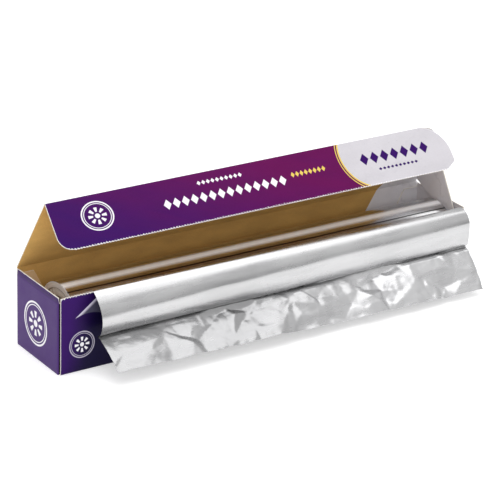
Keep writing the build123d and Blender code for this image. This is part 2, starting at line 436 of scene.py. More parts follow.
def fibre_effect():
    """Paper fibres: a shade about 1 and a height."""
    inputs = [("Place", "place", None), ("Scale", "value", 1.0), ("Contrast", "value", 0.2)]
    outputs = [("Shade", "colour"), ("Height", "value"), ("Roughness", "value")]
    net, get, out = new_effect("Fibre", inputs, outputs)
    size = net.vector(net.times(get["Scale"], 0.35), get["Scale"], get["Scale"])
    place = net.scaled(get["Place"], size)
    fine = net.cloud(place, 2.2, 5.0, 0.7)
    broad = net.cloud(place, 0.12, 2.0)
    speck = net.ramp(net.cloud(place, 1.1, 1.0), 0.68, 0.76)
    lift = net.add(net.take(fine, 0.5), net.times(net.take(broad, 0.5), 0.8))
    tone = net.take(net.add(1.0, net.times(lift, get["Contrast"])), net.times(speck, 0.12))
    net.feed(out.inputs["Shade"], net.grey(tone))
    net.feed(out.inputs["Height"], fine)
    net.feed(out.inputs["Roughness"], net.ramp(fine, 0.3, 0.7, 0.72, 0.92))


def rolled_metal_effect():
    """Mill lines along the foil, with soft patches of duller metal."""
    inputs = [
        ("Place", "place", None), ("Dull", "value", 0.3), ("Bright", "value", 0.16),
        ("Low", "value", 0.5), ("High", "value", 0.6),
    ]
    outputs = [("Roughness", "value"), ("Height", "value"), ("Tone", "colour")]
    net, get, out = new_effect("Rolled metal", inputs, outputs)
    lines = net.cloud(net.scaled(get["Place"], (0.012, 1.0, 1.0)), 1.6, 3.0)
    broad = net.cloud(net.scaled(get["Place"], (0.3, 1.0, 1.0)), 0.05, 2.0)
    share = net.times(net.add(lines, broad), 0.5)
    net.feed(out.inputs["Roughness"], net.ramp(share, 0.3, 0.7, get["Bright"], get["Dull"]))
    net.feed(out.inputs["Height"], net.add(net.times(lines, 0.4), broad))
    tone = net.ramp(share, 0.3, 0.7, get["Low"], get["High"])
    net.feed(out.inputs["Tone"], net.vector(tone, tone, net.add(tone, 0.006)))


def make_effects():
    """Builds every shared effect once."""
    for build in (
        ring_badge_effect, mark_row_effect, ink_effect, marble_effect, scuff_effect,
        fibre_effect, rolled_metal_effect,
    ):
        build()


# ---- materials
def new_material(name):
    """A material with an empty Principled shader: the material, its network and the shader."""
    material = bpy.data.materials.new(name)
    material.use_nodes = True
    network = Network(material.node_tree)
    return material, network, material.node_tree.nodes["Principled BSDF"]


def bump(net, shader, height, strength, distance):
    """Feeds a height through a bump into the shader."""
    node = net.node("ShaderNodeBump")
    node.inputs["Strength"].default_value = strength
    node.inputs["Distance"].default_value = distance
    net.feed(node.inputs["Height"], height)
    net.feed(shader.inputs["Normal"], node.outputs[0])


def layered(net, colour, *layers):
    """Lays masked colours over a colour, in order."""
    for mask, over in layers:
        colour = net.mix(mask, colour, over)
    return colour


def palette():
    """The print's colours as set for the scene."""
    colours = bpy.context.scene.print_colours
    return SimpleNamespace(**{n: tuple(getattr(colours, n)) for n in PrintColours.__annotations__})


def marks(net, place, start, end, level, pitch, height):
    """The mask of one row of lozenges."""
    return net.group(
        "Mark row", place=place, start=start, end=end, level=level, pitch=pitch, height=height
    )["Marks"]


def badge(net, place, x, y, radius, rings, rosette):
    """One badge's layers: its rings and its rosette."""
    made = net.group("Ring badge", place=place, x=x, y=y, radius=radius)
    return [(made["Rings"], rings), (made["Rosette"], rosette)]


def ink(net, place, first, second, start, end):
    """Ink that drifts from one colour to another."""
    return net.group(
        "Ink", place=place, first=first, second=second, start=start, end=end
    )["Colour"]


def marble(net, place, light):
    """The pale veined field."""
    return net.group("Marble", place=place, light=light, vein=(0.5, 0.48, 0.52))["Colour"]


def printed_board(name, design, reach, toothed=None):
    """Printed, varnished board: the design's colours, rubbed white beside the cut edges by about
    reach. Above the level where teeth start, if there are any, each tooth is nicked white."""
    inks = palette()
    material, net, shader = new_material(name)
    place = net.flat()
    if toothed is not None:
        x, y, _ = net.split(place)
        pitch = bpy.context.scene.board_form.tooth_pitch / MM
        nick = net.ramp(net.maths("COSINE", net.times(x, math.tau / pitch)), -0.1, 0.5)
        nick = net.times(net.times(nick, 0.55), net.ramp(y, toothed, toothed + 1.0))
        reach = net.add(reach, nick)
    rubbed = net.group("Scuffs", place=place, rim=net.rim(), reach=reach)["Rubbed"]
    fibre = net.group("Fibre", place=place, scale=0.8, contrast=0.2)
    colour = net.mix(rubbed, design(net, place, inks), inks.white)
    net.feed(shader.inputs["Base Color"], net.shaded(colour, fibre["Shade"]))
    smear = net.cloud(place, 0.08, 4.0, 0.6)
    sheen = net.add(net.ramp(smear, 0.3, 0.7, 0.3, 0.42), net.times(rubbed, 0.35))
    net.feed(shader.inputs["Roughness"], sheen)
    shader.inputs["Specular IOR Level"].default_value = 0.1
    bump(net, shader, net.add(fibre["Height"], net.times(rubbed, -1.0)), 0.12, 0.05 * MM)
    return material


def flap_design(net, place, inks):
    """Violet to magenta ink, a badge, rows of marks, and a pale field behind a gold double line."""
    x, y, _ = net.split(place)
    slanted = net.vector(net.take(x, net.times(y, 2.2)), y)
    ground = ink(net, slanted, inks.violet, inks.magenta, -70.0, 190.0)
    flattened = 1.16
    oval = net.scaled(place, (1.0, flattened, 1.0))
    field_radius = 25.6
    across, up = net.take(x, 246.0), net.take(y, 8.2)
    distance = net.length(across, up)
    within_arc = net.ramp(distance, field_radius + 0.1, field_radius - 0.1)
    field = net.maths("MAXIMUM", within_arc, net.ramp(across, -0.1, 0.1))
    left = net.ramp(across, 0.1, -0.1)
    line = net.times(net.within(net.take(distance, field_radius), 0.45, 0.15), left)
    second = net.times(net.within(net.take(distance, field_radius + 1.8), 0.25, 0.15), left)
    return layered(
        net, ground, *badge(net, oval, 38.1, 13.6 * flattened, 11.3, inks.white, inks.white),
        (marks(net, place, 84.0, 176.4, 15.8, 6.6, 3.4), inks.white),
        (marks(net, place, 112.0, 146.0, 6.2, 3.4, 1.5), inks.white),
        (marks(net, place, 180.0, 207.2, 13.4, 3.4, 1.9), inks.gold),
        (second, inks.gold), (field, marble(net, place, inks.pale)), (line, inks.gold),
        (marks(net, place, 234.0, 290.0, 13.2, 8.0, 4.2), inks.violet),
        (marks(net, place, 246.0, 278.0, 21.6, 3.2, 1.1), inks.violet),
    )


def lid_design(net, place, inks):
    """The lid's top: magenta ink with two badges between rows of marks."""
    layers = []
    for x in (40.0, 268.0):
        layers += badge(net, place, x, 27.0, 15.0, inks.white, inks.white)
    for level, height, pitch, colour in (
        (27.0, 5.0, 9.0, inks.white), (14.0, 1.6, 4.5, inks.gold), (40.0, 1.6, 4.5, inks.gold),
    ):
        layers.append((marks(net, place, 76.0, 229.0, level, pitch, height), colour))
    return layered(net, ink(net, place, inks.magenta, inks.violet, 80.0, 260.0), *layers)


def wrap_design(net, place, inks):
    """Front, base and back: violet, navy below and to the right, a badge and a pale streak."""
    x, y, _ = net.split(place)
    sway = net.times(net.take(net.cloud(place, 0.03, 2.0), 0.5), 16.0)
    depth = net.add(net.add(net.times(net.take(51.5, y), 0.35), net.times(x, 1.3)), sway)
    dark = net.times(net.ramp(depth, 12.0, 42.0), 0.95)
    violet = ink(net, place, inks.violet, inks.violet, 0.0, 100.0)
    ground = net.mix(net.ramp(y, -54.0, -60.0), net.mix(dark, violet, inks.navy), violet)
    along = net.take(x, 11.4)
    top = net.add(36.0, net.times(along, 0.74))
    sag = net.times(net.times(along, along), 0.022)
    low = net.take(net.add(36.0, net.times(along, 0.42)), sag)
    under_top = net.ramp(net.take(y, top), 0.25, -0.25)
    over_low = net.ramp(net.take(y, low), -0.25, 0.25)
    ends = net.times(net.ramp(along, 0.0, 1.0), net.ramp(along, 30.0, 24.0))
    streak = net.times(net.times(under_top, over_low), ends)
    glint = net.mix(
        net.ramp(net.take(top, y), 0.4, 3.2), srgb(206, 200, 218), srgb(74, 72, 92)
    )
    return layered(
        net, ground, *badge(net, place, 16.4, 17.9, 9.0, srgb(176, 170, 186), inks.white),
        (streak, glint),
        (marks(net, place, 60.0, 260.0, 20.0, 8.0, 3.6), inks.white),
        (marks(net, place, 60.0, 249.0, -80.0, 9.0, 4.6), inks.white),
        (marks(net, place, 60.0, 249.0, -92.0, 4.5, 1.5), inks.gold),
    )


def end_design(net, place, inks):
    """End walls: lilac ink, a large badge, painted shade on the leaning strip above the pressed
    crease, and a painted shadow on the front tab in the gap behind the front wall.
    """
    x, y, _ = net.split(place)
    ground = ink(net, place, inks.lilac, inks.lilac, 0.0, 50.0)
    # Painted shade: the strip above the crease, which leans in, is darkened.
    strip = net.times(net.ramp(y, 47.9, 48.5), 0.4)
    # Painted shadow: the front tab's face, in the gap behind the front wall's raw edge, is near
    # black.
    painted_gap_shadow = net.ramp(x, 0.6, 0.2)
    return layered(
        net, ground, (strip, srgb(40, 22, 60)),
        *badge(net, place, 28.8, 24.0, 14.6, inks.white, inks.white),
        (painted_gap_shadow, srgb(10, 7, 16)),
    )


def plain_inside():
    """Bare kraft board, with the pale printed field that runs inside its right-hand end, and
    painted light making the inside of the left end wall and its tabs a paler tan.
    """
    inks = palette()
    material, net, shader = new_material("board_inside")
    place = net.flat()
    x, y, _ = net.split(place)
    fibre = net.group("Fibre", place=place, scale=1.0, contrast=0.55)
    kraft = net.shaded(inks.kraft, fibre["Shade"])
    level = net.maths("MAXIMUM", net.maths("MINIMUM", y, 8.0), -60.0)
    past = net.take(x, net.add(274.6, net.times(level, 0.625)))
    # Painted light: the inside of the left end wall and its glued tabs is mixed to a paler tan, as
    # if lit.
    painted_light_left_end = net.times(net.ramp(y, -200.0, -201.0), net.ramp(x, 200.0, 199.0))
    kraft = net.mix(net.times(painted_light_left_end, 0.9), kraft, srgb(228, 196, 154))
    pale = marble(net, place, srgb(240, 238, 242))
    net.feed(shader.inputs["Base Color"], net.mix(net.ramp(past, -0.15, 0.15), kraft, pale))
    net.feed(shader.inputs["Roughness"], fibre["Roughness"])
    shader.inputs["Specular IOR Level"].default_value = 0.25
    bump(net, shader, fibre["Height"], 0.35, 0.08 * MM)
    return material


def cut_edge():
    """Raw cut board: pale, with the layers just showing."""
    material, net, shader = new_material("board_cut_edge")
    fibre = net.group("Fibre", place=net.here(), scale=2.5, contrast=0.5)
    net.feed(shader.inputs["Base Color"], net.shaded(palette().paper, fibre["Shade"]))
    net.feed(shader.inputs["Roughness"], fibre["Roughness"])
    bump(net, shader, fibre["Height"], 0.4, 0.06 * MM)
    return material


def metal(name, place_scale, dull, bright, bump_depth, relief, finish_and_painted_light):
    """Rolled foil. The relief adds to its height, and the last argument gives how far it is dulled,
    with its colour, which holds painted highlights and painted shade."""
    material, net, shader = new_material(name)
    place = net.scaled(net.here(), place_scale)
    rolled = net.group("Rolled metal", place=place, dull=dull, bright=bright)
    share, colour = finish_and_painted_light(net, rolled["Tone"])
    net.feed(shader.inputs["Base Color"], colour)
    net.feed(shader.inputs["Roughness"], rolled["Roughness"])
    net.feed(shader.inputs["Metallic"], net.take(1.0, share))
    bump(net, shader, relief(net, rolled["Height"]), 0.5, bump_depth)
    return material


def plain_relief(_net, height):
    """The mill lines alone."""
    return height


def painted_highlight_band_and_shadow_line(net, tone):
    """A painted highlight and a painted shadow along the outer turn: a dull pale band for light the
    roll would reflect, and a dark line for the shadow in the gap by the front wall.
    """
    forward, up = net.round_roll()
    facing = net.times(net.maths("ARCTAN2", up, forward), 180 / math.pi)
    place = net.scaled(net.here(), (0.02, 0.02, 0.02))
    sway = net.times(net.take(net.cloud(place, 1.0), 0.5), 3.0)
    facing = net.add(facing, sway)
    # Painted highlight: a pale matt band standing in for the light the roll would reflect.
    wide = net.times(net.ramp(facing, 70.0, 79.0), net.ramp(facing, 92.0, 83.0))
    # Painted shadow: a thin dark line for the shadow in the gap by the front wall.
    painted_shadow_line = net.times(net.ramp(facing, 62.5, 64.0), net.ramp(facing, 66.5, 65.0))
    share = net.times(wide, 0.95)
    dark = net.mix(net.times(painted_shadow_line, 0.85), tone, srgb(30, 26, 24))
    return share, net.mix(share, dark, srgb(250, 250, 252))


def wound_layers(net, height):
    """The edges of the wound turns, as fine rings round the roll's axis."""
    radius = net.length(*net.round_roll())
    uneven = net.cloud(net.vector(radius, 0.0, 0.0), 2.5, 4.0, 0.8)
    return net.add(net.times(height, 0.2), net.times(uneven, 2.0))


def edge_shine_and_gap_shade(net, _tone):
    """The cut turns' edges scatter light, so they shine less than the foil's face. A ring of
    painted shade darkens them where the foil meets the core.
    """
    radius = net.length(*net.round_roll())
    ring = net.cloud(net.vector(radius, 0.0, 0.0), 1.6, 3.0, 0.7)
    share = net.ramp(ring, 0.35, 0.6, 0.7, 0.92)
    # Painted shade: a dark ring where the foil's inner turns meet the core.
    from_core = net.maths("ABSOLUTE", net.take(radius, FOIL_INNER))
    shade = net.ramp(from_core, 0.1, 0.5, 0.35, 1.0)
    return share, net.shaded(srgb(246, 246, 247), net.grey(shade))


def painted_shade_and_duller_skirt(net, tone):
    """Painted shadow makes the tucked fold dark. Below it the handled foil is duller, and painted
    shade makes it darker on the left and middle, a touch lighter at the right end.
    """
    x, down, _ = net.split(net.flat())
    sway = net.times(net.take(net.cloud(net.vector(x, 0.0), 0.03, 3.0), 0.5), 1.1)
    wide = net.ramp(x, 60.0, 290.0, 0.95, 0.35)
    # Painted shadow: a near-black line along the tucked crease.
    fold = net.within(net.add(net.add(down, sway), 1.3), wide, 0.3)
    below = net.ramp(down, 0.0, 1.5)
    skirt = net.times(below, 0.3)
    # Painted shade: the skirt is darker on its left and middle and a touch lighter at its right
    # end; handled holds the duller foil with this painted shade.
    shade = net.take(1.0, net.times(below, net.ramp(x, 120.0, 240.0, 0.28, -0.06)))
    handled = net.shaded(net.mix(skirt, tone, srgb(190, 190, 192)), net.grey(shade))
    return skirt, net.mix(fold, handled, srgb(10, 10, 14))


def fine_creases(net, height):
    """Small sharp creases over the handled foil."""
    creases = net.node("ShaderNodeTexVoronoi", net.here(), feature="DISTANCE_TO_EDGE")
    creases.inputs["Scale"].default_value = 0.09
    creases.inputs["Randomness"].default_value = 1.0
    _, down, _ = net.split(net.flat())
    ridge = net.times(net.ramp(creases.outputs[0], 0.0, 0.1), net.ramp(down, 1.0, 5.0))
    rolled = net.times(height, net.ramp(down, -10.0, 0.0, 0.2, 0.03))
    return net.add(rolled, net.times(ridge, 0.22))


def core_paper():
    """Grey wound paper with a spiral seam and paler raw ends."""
    material, net, shader = new_material("core_paper")
    place = net.here()
    x, y, z = net.split(place)
    fibre = net.group("Fibre", place=place, scale=1.4, contrast=0.45)
    turn = net.maths("ARCTAN2", net.take(z, ROLL_Z), y)
    helix = net.maths("FRACT", net.add(net.times(x, 0.012), net.times(turn, 1 / math.tau)))
    seam = net.ramp(net.maths("ABSOLUTE", net.take(helix, 0.5)), 0.006, 0.002)
    colour = net.shaded(srgb(238, 236, 232), fibre["Shade"])
    colour = net.mix(net.times(seam, 0.5), colour, srgb(120, 114, 106))
    net.feed(shader.inputs["Base Color"], colour)
    net.feed(shader.inputs["Roughness"], fibre["Roughness"])
    bump(net, shader, net.take(fibre["Height"], net.times(seam, 2.0)), 0.4, 0.08 * MM)
    return material


def floor_paper(colour):
    """Pale matt studio paper."""
    material, net, shader = new_material("studio_paper")
    tone = net.ramp(net.cloud(net.here(), 0.8, 3.0), 0.2, 0.8, 0.985, 1.0)
    net.feed(shader.inputs["Base Color"], net.shaded(colour, net.grey(tone)))
    shader.inputs["Roughness"].default_value = 0.9
    shader.inputs["Specular IOR Level"].default_value = 0.1
    shader.inputs["Emission Color"].default_value = (1, 1, 1, 1)
    shader.inputs["Emission Strength"].default_value = 0.45
    return material


# ---- mesh helpers
def rounded_path(corners, radii, step):
    """Points along a 2-D path with rounded corners, each as (x, y, direction x, direction y)."""
    corners = [Vector(c) for c in corners]
    walked = []

    def straight(start, end):
        count = max(1, math.ceil((end - start).length / step))
        way = (end - start).normalized()
        walked.extend((*start.lerp(end, k / count), *way) for k in range(count))

    position = corners[0]
    for index in range(1, len(corners) - 1):
        before = (corners[index] - corners[index - 1]).normalized()
        after = (corners[index + 1] - corners[index]).normalized()
        turn = before.angle_signed(after)
        cut = radii[index - 1] * math.tan(abs(turn) / 2)
        start = corners[index] - before * cut
        straight(position, start)
        side = -math.copysign(1, turn)
        centre = start + Vector((-before.y, before.x)) * side * radii[index - 1]
        count = max(3, math.ceil(abs(turn) / math.radians(12)))
        for k in range(count):
            spin = Matrix.Rotation(-turn * k / count, 2)
            walked.append((*(centre + spin @ (start - centre)), *(spin @ before)))
        position = corners[index] + after * cut
    straight(position, corners[-1])
    walked.append((*corners[-1], *walked[-1][2:]))
    return walked


def distance_to_loop(points, loop):
    """How far each flat point is from a closed outline."""
    starts = np.array(loop)
    ends = np.roll(starts, -1, axis=0)
    way = ends - starts
    size = np.maximum((way ** 2).sum(1), 1e-12)
    found = np.full(len(points), 1e9)
    for first in range(0, len(points), 2000):
        block = points[first:first + 2000, None, :]
        share = np.clip((((block - starts) * way).sum(2)) / size, 0, 1)
        near = starts + share[..., None] * way
        found[first:first + 2000] = np.sqrt(((block - near) ** 2).sum(2)).min(1)
    return found


PRINTED, INSIDE, CUT, END_PRINTED = range(4)


class FoldedBoard:
    """Gathers grids of board into one mesh, each with a printed side, a plain side and a rim."""

    def __init__(self):
        self.points, self.faces, self.slots, self.flats, self.rims = [], [], [], [], []

    def add(self, grid, printed_slot=PRINTED):
        """One grid, as rows of (outer point, inner point, place on the printed side, place on the
        plain side). Places are on the unfolded board."""
        outer, inner, printed, plain = (
            [[spot[k] for spot in row] for row in grid] for k in range(4)
        )
        rows, columns = len(outer), len(outer[0])
        start = len(self.points)
        flat = np.array(printed, float).reshape(-1, 2)
        loop = [(0, c) for c in range(columns)]
        loop += [(r, columns - 1) for r in range(1, rows)]
        loop += [(rows - 1, c) for c in range(columns - 2, -1, -1)]
        loop += [(r, 0) for r in range(rows - 2, 0, -1)]
        rim = distance_to_loop(flat, [printed[r][c] for r, c in loop])
        for side, spots in ((outer, printed), (inner, plain)):
            self.points += [p for row in side for p in row]
            self.flats += [f for row in spots for f in row]
            self.rims += list(rim)
        back = start + rows * columns

        def index(base, r, c):
            return base + r * columns + c

        for r in range(rows - 1):
            for c in range(columns - 1):
                ring = [(r, c), (r, c + 1), (r + 1, c + 1), (r + 1, c)]
                self.faces.append([index(start, *k) for k in ring])
                self.faces.append([index(back, *k) for k in reversed(ring)])
                self.slots += [printed_slot, INSIDE]
        for here, there in zip(loop, loop[1:] + loop[:1]):
            self.faces.append([
                index(start, *there), index(start, *here), index(back, *here), index(back, *there)
            ])
            self.slots.append(CUT)

    def build(self, name, materials):
        """The mesh object, in metres."""
        return mesh_object(
            name, self.points, self.faces, materials, self.slots, self.flats, self.rims
        )


def mesh_object(name, points, faces, materials, slots=None, flats=None, rims=None):
    """A smooth-shaded mesh object from points in millimetres, with sharp edges kept."""
    mesh = bpy.data.meshes.new(name)
    mesh.from_pydata([tuple(Vector(p) * MM) for p in points], [], faces)
    for material in materials:
        mesh.materials.append(material)
    if slots is not None:
        mesh.polygons.foreach_set("material_index", slots)
    corner_points = np.zeros(len(mesh.loops), int)
    mesh.loops.foreach_get("vertex_index", corner_points)
    if flats is not None:
        layer = mesh.uv_layers.new(name="flat")
        layer.data.foreach_set("uv", np.array(flats, float)[corner_points].ravel())
        layer = mesh.uv_layers.new(name="rim")
        pairs = np.stack([np.array(rims, float), np.zeros(len(rims))], axis=1)
        layer.data.foreach_set("uv", pairs[corner_points].ravel())
    work = bmesh.new()
    work.from_mesh(mesh)
    bmesh.ops.recalc_face_normals(work, faces=work.faces)
    work.to_mesh(mesh)
    work.free()
    mesh.shade_smooth()
    mesh.set_sharp_from_angle(angle=math.radians(38))
    made = bpy.data.objects.new(name, mesh)
    bpy.context.scene.collection.objects.link(made)
    return made


def tooth_places(start, end, pitch):
    """Places along an edge from start to end, each with 0 at a tooth's root and 1 at its tip."""
    count = int((end - start) / pitch)
    step = (end - start) / count
    return [(start + k * step / 2, k % 2) for k in range(2 * count + 1)]


def clamped(value):
    """A value held between 0 and 1."""
    return min(1.0, max(0.0, value))


def spaced(start, end, step):
    """Even places from start to end, no further apart than step."""
    count = max(1, math.ceil(abs(end - start) / step))
    return [start + (end - start) * k / count for k in range(count + 1)]


def board_materials(printed):
    """A board piece's materials, in the order of its faces' slots."""
    return [printed, bpy.data.materials["board_inside"], bpy.data.materials["board_cut_edge"]]


# ---- tray
def add_wrap(board, form):
    """Front wall, base and back wall: one strip folded twice, toothed on the front's top edge."""
    depth = form.tooth_depth / MM
    half = RIGHT - BOARD - CORNER_OPENING
    teeth = tooth_places(-half + TOOTH_MARGIN, half - TOOTH_MARGIN, form.tooth_pitch / MM)
    columns = [(-half, 0), (-half + TOOTH_MARGIN / 2, 0), *teeth]
    columns += [(half - TOOTH_MARGIN / 2, 0), (half, 0)]
    corners = [(FRONT, WALL_HEIGHT - depth), (FRONT, 0), (BACK, 0), (BACK, HINGE.z)]
    radius = form.fold_radius / MM
    path = rounded_path(corners, [radius, radius], 3.0)
    rows = []
    walked = 0.0
    for k, (y, z, along_y, along_z) in enumerate(path):
        if k:
            walked += math.dist((y, z), path[k - 1][:2])
        rows.append((y, z, y - along_z * BOARD, z + along_y * BOARD, walked))
    for degrees in (25, 50, 75, 88):
        lift = math.radians(degrees)
        reach = (BOARD / 2 - 0.01) * math.cos(lift)
        top = HINGE.z + (BOARD / 2 - 0.01) * math.sin(lift)
        rows.append((HINGE.y + reach, top, HINGE.y - reach, top, walked + 0.1 * degrees / 25))
    grid = []
    for number, (y, z, inner_y, inner_z, walked) in enumerate(rows):
        wide = half + 0.7 * clamped((walked - 49.0) / 4.0) + 0.2 * clamped((walked - 103.0) / 4.0)
        line = []
        for x, tip in columns:
            rise = depth * tip if number == 0 else 0.0
            x *= wide / half
            line.append((
                (x, y, z + rise), (x, inner_y, inner_z + rise),
                (x - LEFT, WALL_HEIGHT - depth - walked + rise),
                (x - LEFT, z - HINGE.z if y > 0 else z - 105.0),
            ))
        grid.append(line)
    board.add(grid)


def add_end(board, form, side):
    """An end wall with its two glued tabs, folded round the tray's corners. Side is -1 or 1."""
    inner_face = BACK - BOARD
    corners = [
        (LEFT + TAB_WIDTH, inner_face - 0.05), (LEFT, inner_face - 0.05),
        (LEFT, FRONT + BOARD + 0.05), (LEFT + TAB_WIDTH, FRONT + BOARD + 0.05),
    ]
    path = rounded_path(corners, [0.85, 0.85], 2.0)
    crease = WALL_HEIGHT - END_STRIP
    levels = [0.0, 0.12, 0.3, 0.6, 1.0, *spaced(3.0, crease - 1.2, 3.0)]
    levels += [crease + step for step in (-0.5, -0.25, 0.0, 0.25, 0.5, 1.5)]
    levels += [WALL_HEIGHT - 0.8, WALL_HEIGHT]
    radius = form.fold_radius / MM
    grid = []
    for level in levels:
        line = []
        round_in = radius - math.sqrt(max(0.0, radius ** 2 - max(0.0, radius - level) ** 2))
        lean = END_LEAN * max(0.0, level - crease) / END_STRIP
        groove = 0.15 * math.exp(-(((level - crease) / 0.3) ** 2))
        walked = 0.0
        for k, (x, y, along_x, along_y) in enumerate(path):
            if k:
                walked += math.dist((x, y), path[k - 1][:2])
            from_corner = x - LEFT
            wall = clamped(1.0 - (from_corner - 0.1) / 0.7)
            slant = max(0.0, from_corner - TAB_TOP_WIDTH) * TAB_SLANT / (TAB_WIDTH - TAB_TOP_WIDTH)
            tab_top = crease - slant
            top = tab_top + (WALL_HEIGHT - tab_top) * wall
            bottom = (1 - wall) * (BOARD + 0.05)
            z = bottom + (top - bottom) * level / WALL_HEIGHT
            shift = wall * (round_in + lean + groove)
            outer = Vector((x + shift, y))
            inner = outer - Vector((along_y, -along_x)) * BOARD
            line.append((
                (-side * outer.x, outer.y, z), (-side * inner.x, inner.y, z),
                (TAB_WIDTH + (BACK - FRONT) - 1.25 - walked, z),
                (walked + (END_PLAIN_LEFT if side < 0 else END_PLAIN_RIGHT), z + END_PLAIN_LEVEL),
            ))
        grid.append(line)
    board.add(grid, printed_slot=END_PRINTED)


class OBJECT_OT_carton_tray(bpy.types.Operator):
    """Builds the tray: front, base, back and end walls folded from one board."""

    bl_idname = "object.carton_tray"
    bl_label = "Carton tray"

    def execute(self, context):
        form = context.scene.board_form
        board = FoldedBoard()
        add_wrap(board, form)
        add_end(board, form, -1)
        add_end(board, form, 1)
        tray = board.build("carton_tray_board", [
            *board_materials(printed_board("tray_print", wrap_design, 0.1, FRONT_TEETH)),
            printed_board("end_print", end_design, 0.14),
        ])
        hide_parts("carton_tray")
        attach(tray, "carton")
        return {"FINISHED"}


# ---- lid and flap
class Panel:
    """A flat board panel turned about an axis along X: along is its way from the axis, out its
    printed side."""

    def __init__(self, axis, along, out):
        self.axis, self.along, self.out = axis, Vector(along), Vector(out)

    def point(self, x, along, out):
        place = self.axis + self.along * along + self.out * out
        return (x, place.y, place.z)


def add_rows(board, panel, rows, columns):
    """Rows are (outer along, outer out, inner along, inner out, left, right, rise). Columns are
    (share across, tip)."""
    grid = []
    for outer_along, outer_out, inner_along, inner_out, left, right, rise in rows:
        line = []
        for share, tip in columns:
            x = left + (right - left) * share
            outer, inner = outer_along + rise * tip, inner_along + rise * tip
            line.append((
                panel.point(x, outer, outer_out), panel.point(x, inner, inner_out),
                (x - LEFT, outer), (x - LEFT, inner),
            ))
        grid.append(line)
    board.add(grid)


def lid_panel():
    """The lid's own directions: up and back from the hinge."""
    along = (0, -math.cos(LID_TURN), math.sin(LID_TURN))
    return Panel(HINGE, along, (0, math.sin(LID_TURN), math.cos(LID_TURN)))


def flap_panel():
    """The flap's own directions: down and forward from the fold."""
    along = (0, -math.sin(FLAP_TILT), -math.cos(FLAP_TILT))
    return Panel(FOLD, along, (0, -math.cos(FLAP_TILT), math.sin(FLAP_TILT)))


def lid_rows():
    """The lid from its rolled hinge edge to the rounded fold, tapering left and rounded right."""
    half = BOARD / 2
    lid_left, lid_right = LID_LOW.x, LID_HIGH.x
    run = LID_CORNER_RUN - 0.15
    wide = lid_right - FOLD_RIGHT
    radius = (wide ** 2 + run ** 2) / (2 * run)
    centre = LID_LENGTH - 0.15 - radius

    def left(v):
        return lid_left + (FOLD_LEFT - lid_left) * clamped(v / LID_LENGTH)

    rows = []
    for degrees in (88, 65, 42, 20):
        lift = math.radians(degrees)
        v = -half * math.sin(lift)
        rows.append((v, half * math.cos(lift), v, -half * math.cos(lift), left(0), lid_right, 0))
    tab = spaced(DUST_TAB_NEAR, DUST_TAB_FAR, 2.0)
    for v in (0.0, 1.0, 2.0, DUST_TAB_NEAR - 0.3, *tab, LID_LENGTH - LID_CORNER_RUN):
        bent = DUST_TAB_NEAR - 0.01 <= v <= DUST_TAB_FAR + 0.01
        rows.append((v, half, v, -half, left(v), lid_right - (BOARD if bent else 0.0), 0))
    start = math.asin(min(1.0, wide / radius))
    for k in range(1, 15):
        swing = start * (1 - k / 14)
        v = centre + radius * math.cos(swing)
        rows.append((v, half, v, -half, left(v), FOLD_RIGHT + radius * math.sin(swing), 0))
    reach = BOARD - 0.03
    for degrees in (12, 30, 50, 70, 88):
        lift = math.radians(degrees)
        v = LID_LENGTH + reach * math.sin(lift)
        out = -half + reach * math.cos(lift)
        rows.append((v, out, LID_LENGTH, -half, FOLD_LEFT, FOLD_RIGHT, 0))
    return rows


def add_dust_tab(board, panel):
    """The tab bent down from the lid's right-hand edge."""
    half = BOARD / 2
    right = LID_HIGH.x
    corner = 4.0
    turns = [math.radians(d) for d in (0, 18, 36, 54, 72, 90)]
    path = [(right - BOARD + BOARD * math.sin(t), -half + BOARD * math.cos(t),
             right - BOARD, -half) for t in turns]
    lows = spaced(0.6, DUST_TAB_DEPTH - corner, 3.0)
    for degrees in (25, 45, 62, 78, 90):
        lows.append(DUST_TAB_DEPTH - corner * (1 - math.sin(math.radians(degrees))))
    path += [(right, -half - low, right - BOARD, -half - low) for low in lows]
    grid = []
    for x, out, inner_x, inner_out in path:
        low = max(0.0, -out - half)
        share = low / DUST_TAB_DEPTH
        near = DUST_TAB_NEAR + 3.0 * share
        far = DUST_TAB_FAR - 27.4 * share
        past = max(0.0, low - (DUST_TAB_DEPTH - corner))
        pull = corner - math.sqrt(max(0.0, corner ** 2 - past ** 2))
        near, far = near + pull, far - pull * 0.8
        line = []
        for v in (near + (far - near) * s / 12 for s in range(13)):
            line.append((
                panel.point(x, v, out), panel.point(inner_x, v, inner_out),
                (right - LEFT + low, v), (right - LEFT + low + 2.0, v),
            ))
        grid.append(line)
    board.add(grid)


class OBJECT_OT_carton_lid(bpy.types.Operator):
    """Builds the lid panel with its rolled hinge edge and its dust tab."""

    bl_idname = "object.carton_lid"
    bl_label = "Carton lid"

    def execute(self, context):
        board = FoldedBoard()
        panel = lid_panel()
        add_rows(board, panel, lid_rows(), [(k / 120, 0) for k in range(121)])
        add_dust_tab(board, panel)
        printed = printed_board("lid_print", lid_design, 0.14)
        lid = board.build("lid_panel_board", board_materials(printed))
        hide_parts("lid_panel")
        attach(lid, "lid")
        return {"FINISHED"}


